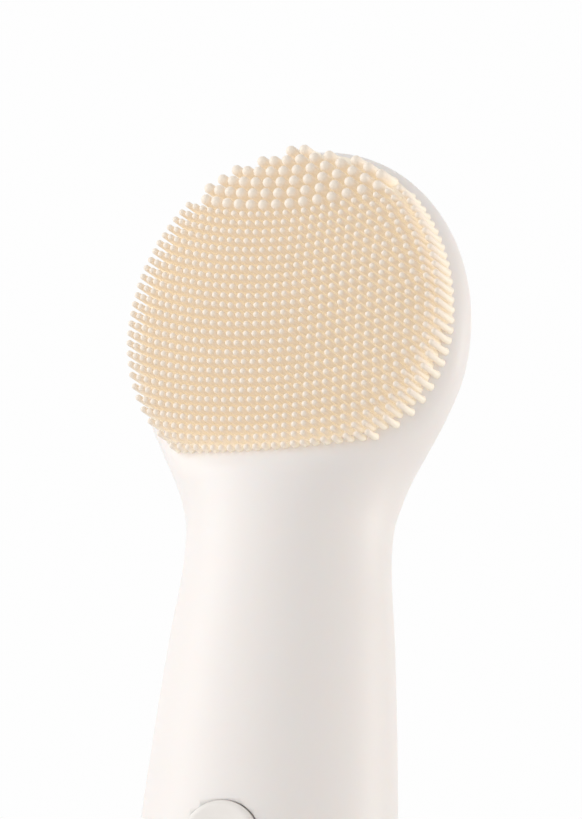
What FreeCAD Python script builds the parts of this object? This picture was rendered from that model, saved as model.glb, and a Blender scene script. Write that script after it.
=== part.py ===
"""Facial cleansing brush: a battery handle with a round silicone bristle head.

Millimetres, +Z up.  The origin is the centre of the flat base that the brush stands on.
The bristles point along -Y.  Every size is a named cell of the spreadsheet below.
"""
import FreeCAD, Part
import math
import os
import re

import Sketcher
from FreeCAD import Placement, Rotation, Vector

os.makedirs("parts", exist_ok=True)
doc = FreeCAD.newDocument("facial_brush")

# ---------------------------------------------------------------- driving dimensions
DIMENSIONS = [
    # outside form: half width to each side, front depth (-Y) and back depth (+Y) at named heights
    ("seam_height", 8.0), ("seam_width", 17.4), ("seam_depth", 14.6),
    ("belly_height", 26.0), ("belly_width", 19.0), ("belly_depth", 16.0),
    ("grip_height", 60.0), ("grip_width", 16.5), ("grip_depth", 13.6),
    ("neck_height", 77.0), ("neck_width", 15.3), ("neck_depth", 12.4),
    ("collar_height", 84.0), ("collar_width", 17.2), ("collar_front", 11.7),
    ("shoulder_height", 88.0), ("shoulder_width", 19.8), ("shoulder_front", 9.0),
    ("cheek_height", 93.0), ("cheek_width", 22.7), ("cheek_front", 8.0),
    ("head_height", 105.0), ("head_width", 25.6), ("head_front", 7.8), ("head_back", 12.0),
    ("crown_rise", 28.0),
    # soft skin over a stiff frame
    ("sleeve_wall", 1.6), ("sleeve_gap", 0.15), ("frame_wall", 1.5), ("pad_wall", 1.6),
    ("pad_seam", 0.05), ("pad_setback", 0.25),
    # bristle pad outline and bristle lattice
    ("pad_width", 24.6), ("pad_rise", 27.4), ("pad_fall", 23.05), ("pad_foot", 85.6),
    ("fine_pitch", 1.415), ("fine_rise", 1.4), ("fine_radius", 0.45), ("fine_length", 4.2),
    ("thick_pitch", 2.1), ("thick_rise", 1.85), ("thick_radius", 0.79), ("thick_length", 4.4),
    ("row_foot", 85.66), ("row_wrap", 53.5), ("tip_fall", 0.625), ("rim_blend", 7.0), ("rim_stretch", 0.57), ("thick_foot", 122.2), ("row_centre", 106.3), ("row_bend", 46.0),
    ("row_bend_rate", 0.65), ("bristle_margin", 0.1), ("bristle_gap", 0.03),
    # base cap
    ("cap_wall", 1.9), ("cap_floor", 2.0), ("cap_round", 4.5), ("collar_rise", 3.6),
    ("collar_wall", 1.4), ("collar_gap", 0.15), ("gasket_thick", 0.8), ("gasket_inset", 0.25),
    ("gasket_band", 2.6),
    # frame screws
    ("screw_radius", 0.8), ("screw_head_radius", 1.5), ("screw_head_thick", 1.0),
    ("screw_shank", 4.2), ("screw_seat", 2.0), ("screw_gap", 0.06), ("screw_recess", 0.2),
    ("boss_radius", 2.3),
    ("low_screw_x", 12.4), ("low_screw_z", 21.5), ("mid_screw_x", 9.8), ("mid_screw_z", 69.0),
    ("top_screw_x", 18.6), ("top_screw_z", 104.0),
    # vibration motor, upright in the head
    ("motor_y", 2.1), ("motor_foot", 94.0), ("motor_length", 16.0), ("motor_radius", 4.8),
    ("can_wall", 0.4), ("nose_thick", 0.7), ("bush_radius", 1.6), ("bush_length", 2.4),
    ("bush_flange_radius", 2.3), ("bush_flange_thick", 0.5), ("shaft_radius", 0.75),
    ("running_gap", 0.04), ("press_gap", 0.01), ("shaft_reach", 8.0), ("end_cap_thick", 1.6),
    ("magnet_wall", 0.9), ("magnet_length", 9.0), ("magnet_slot", 3.0), ("air_gap", 0.35),
    ("armature_length", 8.0), ("armature_slot", 0.9), ("part_gap", 0.03),
    ("weight_radius", 4.2), ("weight_length", 5.0), ("weight_lift", 2.6), ("weight_hub", 1.7),
    ("damper_wall", 0.7), ("damper_length", 13.0), ("damper_rib", 0.35),
    ("strap_wall", 0.7), ("strap_width", 7.0), ("strap_ear_reach", 11.2), ("strap_ear_thick", 1.2),
    ("strap_screw_x", 8.9), ("strap_screw_radius", 0.6), ("strap_screw_head", 1.15),
    ("strap_screw_shank", 4.0), ("strap_boss_radius", 1.6),
    # battery
    ("cell_radius", 7.0), ("cell_length", 43.0), ("cell_foot", 19.0), ("cell_y", 2.4),
    ("tab_thick", 0.2), ("tab_width", 3.0), ("foam_thick", 1.3), ("foam_radius", 6.2),
    ("rib_thick", 1.5), ("cradle_gap", 0.1),
    # circuit board and switch
    ("board_width", 17.0), ("board_length", 52.0), ("board_thick", 1.0), ("board_foot", 13.5),
    ("board_y", 5.6), ("post_radius", 1.6), ("post_x", 6.3), ("post_inset", 2.4),
    ("board_screw_radius", 0.6), ("board_screw_head", 1.2), ("board_screw_head_thick", 0.7),
    ("board_screw_shank", 3.0),
    ("switch_size", 6.0), ("switch_thick", 2.5), ("button_height", 27.0),
    ("plunger_radius", 1.5), ("plunger_reach", 0.9), ("plunger_root", 1.0), ("plunger_room", 0.6),
    ("button_radius", 6.0), ("button_thick", 1.6), ("button_proud", 0.4), ("button_gap", 0.2),
    ("button_round", 0.5), ("stem_radius", 2.0), ("stem_gap", 0.05), ("gasket_radius", 3.3),
    ("gasket_length", 1.2), ("gasket_bore_gap", 0.12),
    # status lights
    ("light_height", 16.4), ("light_pitch", 3.4), ("light_radius", 0.75), ("light_gap", 0.1),
    ("light_bar", 1.0), ("led_size", 1.5), ("led_thick", 0.7), ("light_recess", 0.15),
    # charging jack
    ("jack_y", 4.6), ("jack_radius", 3.2), ("jack_bore", 1.25), ("jack_depth", 7.0),
    ("jack_recess", 0.3), ("jack_length", 8.2), ("jack_gap", 0.1), ("jack_flange_radius", 4.7),
    ("jack_flange_thick", 1.2), ("ring_thick", 1.0),
    # internal leads
    ("lead_radius", 0.4), ("lead_spread", 1.6), ("lead_rise", 3.6), ("lead_drop", 8.0),
    ("lead_climb", 5.0), ("lead_lap", 3.0),
]

sheet = doc.addObject("Spreadsheet::Sheet", "sizes")
for row, (alias, value) in enumerate(DIMENSIONS, start=1):
    sheet.set(f"A{row}", alias)
    sheet.set(f"B{row}", str(value))
    sheet.setAlias(f"B{row}", alias)
doc.recompute()

ALIASES = {alias for alias, _ in DIMENSIONS}
RING_POINTS = 24
RING_START = 75
FAR = 200.0
NODES = []


def size(alias):
    """The value of one cell, for shapes that are worked out in code."""
    return float(sheet.get(alias))


def formula(text):
    """A formula in cell names, written as the spreadsheet reference that expressions need."""
    return re.sub(r"[a-z_]+", lambda word: f"sizes.{word.group(0)}" if word.group(0) in ALIASES
                  else word.group(0), str(text))


# ---------------------------------------------------------------- parametric building blocks
def place(thing, x="0", y="0", z="0", turn=None):
    if turn is not None:
        thing.Placement = Placement(Vector(), turn)
    for axis, text in (("x", x), ("y", y), ("z", z)):
        thing.setExpression(f"Placement.Base.{axis}", formula(text))
    return thing


ALONG_BACK = Rotation(Vector(1, 0, 0), -90)
ALONG_SIDE = Rotation(Vector(0, 1, 0), 90)


def box(name, spans, x="0", y="0", z="0"):
    """A block: spans are its sizes in X, Y and Z, and x, y, z its low corner."""
    block = doc.addObject("Part::Box", name)
    for side, text in zip(("Length", "Width", "Height"), spans):
        block.setExpression(side, formula(text))
    return place(block, x, y, z)


def rod(name, radius, length, x="0", y="0", z="0", turn=None):
    """A round bar that starts at x, y, z and runs up, or the way that turn sends it."""
    bar = doc.addObject("Part::Cylinder", name)
    bar.setExpression("Radius", formula(radius))
    bar.setExpression("Height", formula(length))
    return place(bar, x, y, z, turn)


def cut(name, base, tool):
    result = doc.addObject("Part::Cut", name)
    result.Base = base
    result.Tool = tool
    return result


def joined(name, pieces):
    result = doc.addObject("Part::MultiFuse", name)
    result.Shapes = pieces
    return result


def grouped(name, pieces):
    result = doc.addObject("Part::Compound", name)
    result.Links = pieces
    return result


def turned(name, corners, x="0", y="0", z="0"):
    """A PartDesign body turned about its own upright axis from a profile of (radius, height)."""
    body = doc.addObject("PartDesign::Body", name)
    sketch = body.newObject("Sketcher::SketchObject", f"{name}_profile")
    plane = [item for item in body.Origin.OriginFeatures if item.Role == "XZ_Plane"][0]
    sketch.AttachmentSupport = (plane, [""])
    sketch.MapMode = "FlatFace"
    spots = [(evaluate(radius), evaluate(height)) for radius, height in corners]
    for here, there in zip(spots, spots[1:] + spots[:1]):
        sketch.addGeometry(Part.LineSegment(Vector(*here, 0), Vector(*there, 0)), False)
    for edge, (radius, height) in enumerate(corners):
        sketch.addConstraint(Sketcher.Constraint("Coincident", edge, 2, (edge + 1) % len(corners), 1))
        for kind, text in (("DistanceX", radius), ("DistanceY", height)):
            value = evaluate(text)
            index = sketch.addConstraint(Sketcher.Constraint(kind, -1, 1, edge, 1, value))
            sketch.setExpression(f"Constraints[{index}]", formula(text))
    turn = body.newObject("PartDesign::Revolution", f"{name}_turn")
    turn.Profile = sketch
    turn.ReferenceAxis = (sketch, ["V_Axis"])
    turn.Angle = 360
    sketch.Visibility = False
    return place(body, x, y, z)


def evaluate(text):
    """The present value of a formula in cell names."""
    probe = doc.getObject("probe") or doc.addObject("App::FeaturePython", "probe")
    return float(probe.evalExpression(formula(text)))


def made(name, shape):
    """A feature whose shape is worked out below from the sheet."""
    feature = doc.addObject("Part::Feature", name)
    feature.Shape = shape
    return feature


def node(thing, label):
    """Marks a finished sub-part: its label names its node and its file."""
    thing.Label = label
    NODES.append(thing)
    return thing


# ---------------------------------------------------------------- outside form
STATIONS = [
    [size(f"{place_name}_height"), size(f"{place_name}_width"), size(front), size(back)]
    for place_name, front, back in (
        ("seam", "seam_depth", "seam_depth"), ("belly", "belly_depth", "belly_depth"),
        ("grip", "grip_depth", "grip_depth"), ("neck", "neck_depth", "neck_depth"),
        ("collar", "collar_front", "head_back"), ("shoulder", "shoulder_front", "head_back"),
        ("cheek", "cheek_front", "head_back"), ("head", "head_front", "head_back"))]


def slope_at(index, column):
    """Slope of the outline at one station; the head's widest place has none."""
    if index == len(STATIONS) - 1:
        return 0.0
    low = STATIONS[max(index - 1, 0)]
    high = STATIONS[index + 1]
    return (high[column] - low[column]) / (high[0] - low[0])


def crown_share(height):
    """1 up to the head's widest place, then falling to 0 at its top."""
    share = max(0.0, height - size("head_height")) / size("crown_rise")
    return math.sqrt(max(0.0, 1.0 - share * share))


def outline(height):
    """Half width, front depth and back depth of the outside at one height."""
    if height >= size("head_height"):
        return [value * crown_share(height) for value in STATIONS[-1][1:]]
    index = 0
    while index < len(STATIONS) - 2 and STATIONS[index + 1][0] <= height:
        index += 1
    low, high = STATIONS[index], STATIONS[index + 1]
    span = high[0] - low[0]
    part = (height - low[0]) / span
    result = []
    for column in (1, 2, 3):
        rise = part * part * (3 - 2 * part)
        leave = part * (1 - part) ** 2 * span * slope_at(index, column)
        arrive = part * part * (part - 1) * span * slope_at(index + 1, column)
        result.append(low[column] + (high[column] - low[column]) * rise + leave + arrive)
    return result


def ring(height, half_width, front, back):
    """A closed oval of two half ellipses that share their width, drawn from beside its back."""
    points = []
    for step in range(RING_POINTS):
        turn = math.radians(RING_START) + 2 * math.pi * step / RING_POINTS
        depth = back if math.sin(turn) > 0 else front
        points.append(Vector(half_width * math.cos(turn), depth * math.sin(turn), height))
    curve = Part.BSplineCurve()
    knots = [step / RING_POINTS for step in range(RING_POINTS + 1)]
    curve.interpolate(points, PeriodicFlag=True, Parameters=knots)
    return Part.Wire([curve.toShape()])


LOWER_STEPS = 3
CROWN_ANGLES = (16, 31, 45, 57, 68, 77, 84)


def oval_solid(inset):
    """The outside form shrunk by inset on every side, from the cap seam to the crown."""
    rings = []
    for low, high in zip(STATIONS, STATIONS[1:]):
        steps = LOWER_STEPS if high[0] - low[0] > size("cheek_height") - size("shoulder_height") else 1
        for step in range(steps):
            height = low[0] + (high[0] - low[0]) * step / steps
            rings.append(ring(height, *[value - inset for value in outline(height)]))
    centre = size("head_height")
    waist = [value - inset for value in STATIONS[-1][1:]]
    rings.append(ring(centre, *waist))
    for angle in CROWN_ANGLES:
        scale = math.cos(math.radians(angle))
        height = centre + (size("crown_rise") - inset) * math.sin(math.radians(angle))
        rings.append(ring(height, *[value * scale for value in waist]))
    return Part.makeLoft(rings, True, False)


def front_depth(across, height, front=None):
    """How far the outside stands in front of the upright axis plane at one place."""
    half_width, depth, _ = outline(height)
    share = min(1.0, abs(across) / half_width)
    return (depth if front is None else front) * math.sqrt(1.0 - share * share)


def row_rise(across, foot):
    """How far a row of bristles has climbed at a distance from the middle."""
    bend = size("row_bend") - size("row_bend_rate") * (foot - size("row_centre"))
    return across * across / (2 * bend)


def half_disc(centre, wide, tall, above):
    """One half of an oval prism: the part above or below its widest place."""
    axes = sorted([Vector(0, 0, tall), Vector(wide, 0, 0)], key=lambda axis: -axis.Length)
    oval = Part.Ellipse(centre + axes[0], centre + axes[1], centre)
    disc = Part.Face(Part.Wire([oval.toShape()])).extrude(Vector(0, -FAR, 0))
    low = centre + Vector(-FAR / 2, -FAR, 0 if above else -FAR)
    return disc.common(Part.makeBox(FAR, FAR, FAR, low))


def pad_prism(grow):
    """The pad's outline, round with a smiling foot, run through the front of the head."""
    start = -size("pad_setback")
    centre = Vector(0, start, size("head_height"))
    wide = size("pad_width") + grow
    crown_half = half_disc(centre, wide, size("pad_rise") + grow, True)
    chin_half = half_disc(centre, wide, size("pad_fall") + grow, False)
    disc = crown_half.fuse(chin_half)
    foot = size("pad_foot") - grow
    half = size("head_width")
    left = Vector(-half, start, foot + row_rise(half, foot))
    right = Vector(half, start, foot + row_rise(half, foot))
    smile = Part.Arc(left, Vector(0, start, foot), right).toShape()
    top = size("head_height") + 2 * size("crown_rise")
    corners = [right, Vector(half, start, top), Vector(-half, start, top), left]
    frame = Part.makePolygon(corners)
    keep = Part.Face(Part.Wire([smile] + frame.Edges)).extrude(Vector(0, -FAR, 0))
    return disc.common(keep)


def half_space(front):
    """Everything in front of, or behind, the plane where the two frame halves meet."""
    low = Vector(-FAR / 2, -FAR / 2 if front else 0, -FAR / 2)
    return Part.makeBox(FAR, FAR / 2, 2 * FAR, low)


def rod_shape(radius, length, start, direction):
    return Part.makeCylinder(radius, length, start, direction)


BACK = Vector(0, 1, 0)
UP = Vector(0, 0, 1)

outside = oval_solid(0.0)
frame_inset = size("sleeve_wall") + size("sleeve_gap")
frame_form = oval_solid(frame_inset)
frame_hollow = oval_solid(frame_inset + size("frame_wall"))

button_z = size("button_height")
light_z = size("light_height")
light_spots = [step * size("light_pitch") for step in (-1, 0, 1)]

# white silicone sleeve, one piece from the cap seam over the head, open where the pad sits
sleeve_shape = outside.cut(oval_solid(size("sleeve_wall")))
sleeve_shape = sleeve_shape.cut(pad_prism(size("pad_seam")))
button_hole = size("button_radius") + size("button_gap")
sleeve_shape = sleeve_shape.cut(rod_shape(button_hole, FAR, Vector(0, -FAR, button_z), BACK))
light_hole = size("light_radius") + size("light_gap")
for spot in light_spots:
    sleeve_shape = sleeve_shape.cut(rod_shape(light_hole, FAR, Vector(spot, -FAR, light_z), BACK))
node(made("sleeve", sleeve_shape), "body_sleeve")

# cream silicone pad that carries the bristles, flush with the sleeve around it
pad_shape = outside.common(pad_prism(0.0)).cut(oval_solid(size("pad_wall")))
node(made("pad", pad_shape), "bristle_pad")


# ---------------------------------------------------------------- bristles
def bristle(radius, across, height, length):
    """One round-tipped bristle, standing on the pad and pointing straight forward."""
    lean = [front_depth(abs(across) + side * radius, height + lift * radius)
            for side in (-1, 1) for lift in (-1, 1)]
    root = max(lean + [front_depth(across, height)]) + size("bristle_gap")
    share = min(1.0, abs(across) / outline(height)[0])
    dome = size("head_front") * crown_share(height) * (1.0 - size("tip_fall") * share * share)
    tip = dome + length
    shank = tip - radius - root
    if shank <= 0:
        return None
    start = Vector(across, -root, height)
    stem = Part.makeCylinder(radius, shank, start, -BACK)
    dome = Part.makeSphere(radius, start - BACK * shank, -BACK, 0, 90, 360)
    return stem.fuse(dome).removeSplitter().Solids[0]


def inside_pad(across, height, radius):
    """True where a bristle stands wholly on the pad."""
    room = radius + size("bristle_margin")
    share_x = across / (size("pad_width") - room)
    reach = size("pad_rise") if height > size("head_height") else size("pad_fall")
    share_z = (height - size("head_height")) / (reach - room)
    return share_x * share_x + share_z * share_z <= 1.0


def row_end(foot, radius):
    """How far from the middle the last bristle of a row can stand, or 0 for no row at all."""
    low, high = 0.0, size("pad_width")
    if not inside_pad(low, foot, radius):
        return 0.0
    for _ in range(30):
        middle = (low + high) / 2
        if inside_pad(middle, foot + row_rise(middle, foot), radius):
            low = middle
        else:
            high = middle
    return low


def row_spots(foot, radius, pitch, rim):
    """Where one row's bristles stand on the right of the middle.
    Columns wrap round the head.  With rim, the outer ones shift so that the last is at the edge."""
    wrap = size("row_wrap")
    end = row_end(foot, radius)
    reach = end + size("rim_stretch") if rim else end
    count = int(size("pad_width") / pitch) + 2
    spots = [wrap * math.sin((column + 0.5) * pitch / wrap) for column in range(count)]
    spots = [across for across in spots if across <= reach]
    if rim and spots:
        last = spots[-1]
        spots = [across + (end - last) * max(0.0, 1 - (last - across) / size("rim_blend"))
                 for across in spots]
    return spots


def bristle_rows(radius, pitch, rise, foot, head, length, rim):
    """Rows of bristles that smile: each row climbs toward both sides of the head."""
    bristles = []
    while foot <= head:
        for across in row_spots(foot, radius, pitch, rim):
            height = foot + row_rise(across, foot)
            bristles += [bristle(radius, side * across, height, length) for side in (-1, 1)]
        foot += rise
    return [piece for piece in bristles if piece]


fine = bristle_rows(size("fine_radius"), size("fine_pitch"), size("fine_rise"), size("row_foot"),
                    size("thick_foot") - size("fine_rise") / 2, size("fine_length"), True)
thick = bristle_rows(size("thick_radius"), size("thick_pitch"), size("thick_rise"),
                     size("thick_foot"), size("head_height") + size("pad_rise"),
                     size("thick_length"), False)
node(made("fine", Part.makeCompound(fine)), "fine_bristles")
node(made("thick", Part.makeCompound(thick)), "thick_bristles")
print("bristles:", len(fine), "fine,", len(thick), "thick")

# ---------------------------------------------------------------- stiff inner frame
frame_shell = frame_form.cut(frame_hollow)
screw_spots = [(side * size(f"{level}_screw_x"), size(f"{level}_screw_z"))
               for level in ("low", "mid", "top") for side in (-1, 1)]
screw_hole = size("screw_radius") + size("screw_gap")


def ribs_and_bosses(front):
    """What stands inside one frame half, before it is trimmed to the frame's outside."""
    pieces = []
    start = -FAR / 2 if front else 0.0
    for across, height in screw_spots:
        spot = Vector(across, start, height)
        pieces.append(rod_shape(size("boss_radius"), FAR / 2, spot, BACK))
    if front:
        for across, height in post_spots:
            spot = Vector(across, -FAR, height)
            reach = FAR - size("board_y") - size("board_thick")
            pieces.append(rod_shape(size("post_radius"), reach, spot, BACK))
        for side in (-1, 1):
            spot = Vector(side * size("strap_screw_x"), -FAR, strap_z)
            pieces.append(rod_shape(size("strap_boss_radius"), FAR + ear_y, spot, BACK))
    else:
        cell_top = size("cell_foot") + size("cell_length")
        cushion = size("tab_thick") + size("foam_thick")
        for level in (size("cell_foot") - cushion - size("rib_thick"), cell_top + cushion):
            pieces.append(Part.makeBox(FAR, FAR / 2, size("rib_thick"), Vector(-FAR / 2, 0, level)))
        for share in (0.2, 0.8):
            level = size("cell_foot") + size("cell_length") * share
            rib = Part.makeBox(FAR, FAR / 2, size("rib_thick"), Vector(-FAR / 2, 0, level))
            seat = rod_shape(size("cell_radius") + size("cradle_gap"), FAR,
                             Vector(0, size("cell_y"), -FAR / 2), UP)
            pieces.append(rib.cut(seat))
    return pieces


post_spots = [(side * size("post_x"), level) for side in (-1, 1)
              for level in (size("board_foot") + size("post_inset"),
                            size("board_foot") + size("board_length") - size("post_inset"))]
strap_z = size("motor_foot") + size("motor_length") / 2
ear_y = size("motor_y") - size("strap_ear_thick")


def frame_half(front):
    """One half of the frame: its shell, its bosses and ribs, and the holes through it."""
    side = half_space(front)
    half = frame_shell.common(side)
    inner = frame_form.common(side)
    half = half.multiFuse([piece.common(inner) for piece in ribs_and_bosses(front)])
    holes = []
    for across, height in screw_spots:
        if front:
            depth = size("screw_shank") - size("screw_seat") + size("screw_recess")
            holes.append(rod_shape(screw_hole, depth, Vector(across, -depth, height), BACK))
        else:
            holes.append(rod_shape(screw_hole, FAR, Vector(across, 0, height), BACK))
            holes.append(rod_shape(size("screw_head_radius") + size("screw_gap"), FAR,
                                   Vector(across, size("screw_seat"), height), BACK))
    if front:
        board_front = size("board_y") + size("board_thick")
        pilot = size("board_screw_radius") + size("screw_gap")
        depth = size("board_screw_shank") - size("board_thick") + size("screw_recess")
        for across, height in post_spots:
            holes.append(rod_shape(pilot, depth, Vector(across, -board_front - depth, height), BACK))
        pilot = size("strap_screw_radius") + size("screw_gap")
        depth = size("strap_screw_shank") - size("strap_ear_thick") + size("screw_recess")
        for across in (-size("strap_screw_x"), size("strap_screw_x")):
            holes.append(rod_shape(pilot, depth, Vector(across, ear_y - depth, strap_z), BACK))
        seat = size("gasket_radius") + size("screw_gap")
        holes.append(rod_shape(seat, FAR, Vector(0, -FAR, button_z), BACK))
        for spot in light_spots:
            holes.append(rod_shape(light_hole, FAR, Vector(spot, -FAR, light_z), BACK))
    return half.cut(holes)


node(made("front_half", frame_half(True)), "front_frame")
node(made("rear_half", frame_half(False)), "rear_frame")

# frame screws, driven from the back through the rear half into the front half
screws = []
for index, (across, height) in enumerate(screw_spots):
    tag = ("low", "mid", "top")[index // 2]
    x_text = f"{'-' if index % 2 == 0 else ''}{tag}_screw_x"
    shank = rod(f"screw_shank_{index}", "screw_radius", "screw_shank", x_text,
                "screw_seat - screw_shank", f"{tag}_screw_z", ALONG_BACK)
    head = rod(f"screw_head_{index}", "screw_head_radius", "screw_head_thick", x_text,
               "screw_seat", f"{tag}_screw_z", ALONG_BACK)
    slot = box(f"screw_slot_{index}", ("2 * screw_head_radius", "screw_head_thick", "screw_radius / 2"),
               f"{x_text} - screw_head_radius", "screw_seat + screw_head_thick / 2",
               f"{tag}_screw_z - screw_radius / 4")
    screws.append(cut(f"screw_{index}", joined(f"screw_blank_{index}", [shank, head]), slot))
node(grouped("screw_set", screws), "frame_screws")

# ---------------------------------------------------------------- base cap and its gasket
def oval_prism(inset, low, high):
    """An upright oval bar with the outline of the cap seam, shrunk by inset."""
    base = ring(low, size("seam_width") - inset, size("seam_depth") - inset,
                size("seam_depth") - inset)
    return Part.Face(base).extrude(Vector(0, 0, high - low))


gasket_foot = size("seam_height") - size("gasket_thick")
cap_shape = oval_prism(0.0, 0.0, gasket_foot)
bottom_edge = min(cap_shape.Edges, key=lambda edge: edge.BoundBox.ZMax)
cap_shape = cap_shape.makeFillet(size("cap_round"), [bottom_edge])
cap_shape = cap_shape.cut(oval_prism(size("cap_wall") + size("gasket_band"), size("cap_floor"), FAR))
collar_out = frame_inset + size("frame_wall") + size("collar_gap")
collar = oval_prism(collar_out, size("cap_floor"), size("seam_height") + size("collar_rise"))
collar = collar.cut(oval_prism(collar_out + size("collar_wall"), 0.0, FAR))
cap_shape = cap_shape.fuse(collar)
jack_hole = rod_shape(size("jack_radius") + size("jack_gap"), size("cap_floor") * 2,
                      Vector(0, size("jack_y"), -size("cap_floor") / 2), UP)
cap_shape = cap_shape.cut(jack_hole).removeSplitter()
node(made("cap", cap_shape), "base_cap")

gasket_shape = oval_prism(size("gasket_inset"), gasket_foot, size("seam_height"))
gasket_shape = gasket_shape.cut(oval_prism(size("gasket_inset") + size("gasket_band"), 0.0, FAR))
node(made("seam_gasket", gasket_shape), "base_gasket")

# ---------------------------------------------------------------- vibration motor
node(turned("can", [
    ("bush_radius + part_gap", "motor_length"), ("motor_radius", "motor_length"), ("motor_radius", "0"),
    ("motor_radius - can_wall", "0"), ("motor_radius - can_wall", "motor_length - nose_thick"),
    ("bush_radius + part_gap", "motor_length - nose_thick"),
], y="motor_y", z="motor_foot"), "motor_can")

node(turned("bush", [
    ("shaft_radius + running_gap", "-bush_flange_thick"), ("bush_flange_radius", "-bush_flange_thick"),
    ("bush_flange_radius", "0"), ("bush_radius", "0"), ("bush_radius", "bush_length"),
    ("shaft_radius + running_gap", "bush_length"),
], y="motor_y", z="motor_foot + motor_length - nose_thick"), "motor_bush")

end_cap = turned("end_plug", [
    ("shaft_radius + running_gap", "part_gap * 10"),
    ("shaft_radius + running_gap", "end_cap_thick"),
    ("motor_radius - can_wall - part_gap", "end_cap_thick"),
    ("motor_radius - can_wall - part_gap", "0"),
    ("shaft_radius / 2", "0"), ("shaft_radius / 2", "part_gap * 10"),
], y="motor_y", z="motor_foot")
node(end_cap, "motor_end_cap")

magnet_ring = turned("magnet_tube", [
    ("motor_radius - can_wall - part_gap - magnet_wall", "0"),
    ("motor_radius - can_wall - part_gap", "0"),
    ("motor_radius - can_wall - part_gap", "magnet_length"),
    ("motor_radius - can_wall - part_gap - magnet_wall", "magnet_length"),
], y="motor_y", z="motor_foot + end_cap_thick + magnet_wall")
magnet_slot = box("magnet_gap", ("magnet_slot", "4 * motor_radius", "2 * magnet_length"),
                  "-magnet_slot / 2", "motor_y - 2 * motor_radius", "motor_foot")
node(cut("magnets", magnet_ring, magnet_slot), "motor_magnets")

armature_text = "motor_radius - can_wall - part_gap - magnet_wall - air_gap"
stack = turned("armature_stack", [
    ("shaft_radius + press_gap", "0"), (armature_text, "0"), (armature_text, "armature_length"),
    ("shaft_radius + press_gap", "armature_length"),
], y="motor_y", z="motor_foot + end_cap_thick + magnet_wall + (magnet_length - armature_length) / 2")
slots = []
for index, angle in enumerate((90, 210, 330)):
    slot = box(f"armature_slot_{index}", ("motor_radius", "armature_slot", "2 * magnet_length"))
    spoke = Rotation(Vector(0, 0, 1), angle)
    place(slot, f"cos({angle}) * 2 * shaft_radius + sin({angle}) * armature_slot / 2",
          f"motor_y + sin({angle}) * 2 * shaft_radius - cos({angle}) * armature_slot / 2",
          "motor_foot", spoke)
    slots.append(slot)
node(cut("armature", stack, joined("armature_slots", slots)), "motor_armature")

node(turned("shaft", [
    ("0", "part_gap * 12"), ("shaft_radius", "part_gap * 12"),
    ("shaft_radius", "motor_length + shaft_reach"), ("0", "motor_length + shaft_reach"),
], y="motor_y", z="motor_foot"), "motor_shaft")

weight_z = "motor_foot + motor_length + weight_lift"
weight_disc = rod("weight_disc", "weight_radius", "weight_length", "0", "motor_y", weight_z)
weight_trim = box("weight_trim", ("2 * weight_radius", "weight_radius", "weight_length"),
                  "-weight_radius", "motor_y", weight_z)
weight_hub = rod("weight_hub_bar", "weight_hub", "weight_length", "0", "motor_y", weight_z)
weight_bore = rod("weight_bore", "shaft_radius + press_gap", "weight_length", "0", "motor_y", weight_z)
weight_half = cut("weight_half", weight_disc, weight_trim)
node(cut("weight", joined("weight_blank", [weight_half, weight_hub]), weight_bore), "eccentric_weight")

damper_in = "motor_radius + part_gap"
damper_out = "motor_radius + part_gap + damper_wall"
damper_corners = [(damper_in, "0"), (damper_out, "0")]
for index in (1, 3, 5, 7):
    step = f"damper_length * {index} / 9"
    after = f"damper_length * {index + 1} / 9"
    damper_corners += [(damper_out, step), (f"{damper_out} - damper_rib", step),
                       (f"{damper_out} - damper_rib", after), (damper_out, after)]
damper_corners += [(damper_out, "damper_length"), (damper_in, "damper_length")]
node(turned("damper", damper_corners, y="motor_y",
            z="motor_foot + (motor_length - damper_length) / 2"), "motor_damper")

# strap that holds the motor and its damper to the front frame half
strap_low = "motor_foot + motor_length / 2 - strap_width / 2"
strap_in = "motor_radius + damper_wall + 3 * part_gap"
strap_out = "motor_radius + damper_wall + 3 * part_gap + strap_wall"
strap_tube = rod("strap_tube", strap_out, "strap_width", "0", "motor_y", strap_low)
strap_ears = box("strap_ears", ("2 * strap_ear_reach", "strap_ear_thick", "strap_width"),
                 "-strap_ear_reach", "motor_y - strap_ear_thick", strap_low)
strap_front = box("strap_front", ("4 * motor_radius", "2 * motor_radius", "strap_width"),
                  "-2 * motor_radius", "motor_y - strap_ear_thick - 2 * motor_radius", strap_low)
strap_bore = rod("strap_bore", strap_in, "strap_width", "0", "motor_y", strap_low)
strap_holes = [rod(f"strap_hole_{side}", "strap_screw_radius + screw_gap", "4 * strap_ear_thick",
                   f"{sign}strap_screw_x", "motor_y - 3 * strap_ear_thick",
                   "motor_foot + motor_length / 2", ALONG_BACK)
               for side, sign in (("left", "-"), ("right", ""))]
strap_blank = joined("strap_blank", [cut("strap_arch", strap_tube, strap_front), strap_ears])
node(cut("strap", strap_blank, joined("strap_voids", [strap_bore] + strap_holes)), "motor_strap")

strap_screws = []
for side, sign in (("left", "-"), ("right", "")):
    shank = rod(f"strap_shank_{side}", "strap_screw_radius", "strap_screw_shank",
                f"{sign}strap_screw_x", "motor_y - strap_screw_shank",
                "motor_foot + motor_length / 2", ALONG_BACK)
    head = rod(f"strap_head_{side}", "strap_screw_head", "strap_screw_radius * 1.5",
               f"{sign}strap_screw_x", "motor_y", "motor_foot + motor_length / 2", ALONG_BACK)
    strap_screws.append(joined(f"strap_screw_{side}", [shank, head]))
node(grouped("strap_screw_set", strap_screws), "strap_screws")

# ---------------------------------------------------------------- battery
node(turned("cell", [
    ("0", "0"), ("cell_radius - tab_thick", "0"), ("cell_radius", "tab_thick"),
    ("cell_radius", "cell_length - tab_thick"), ("cell_radius - tab_thick", "cell_length"),
    ("0", "cell_length"),
], y="cell_y", z="cell_foot"), "battery_cell")

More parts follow.
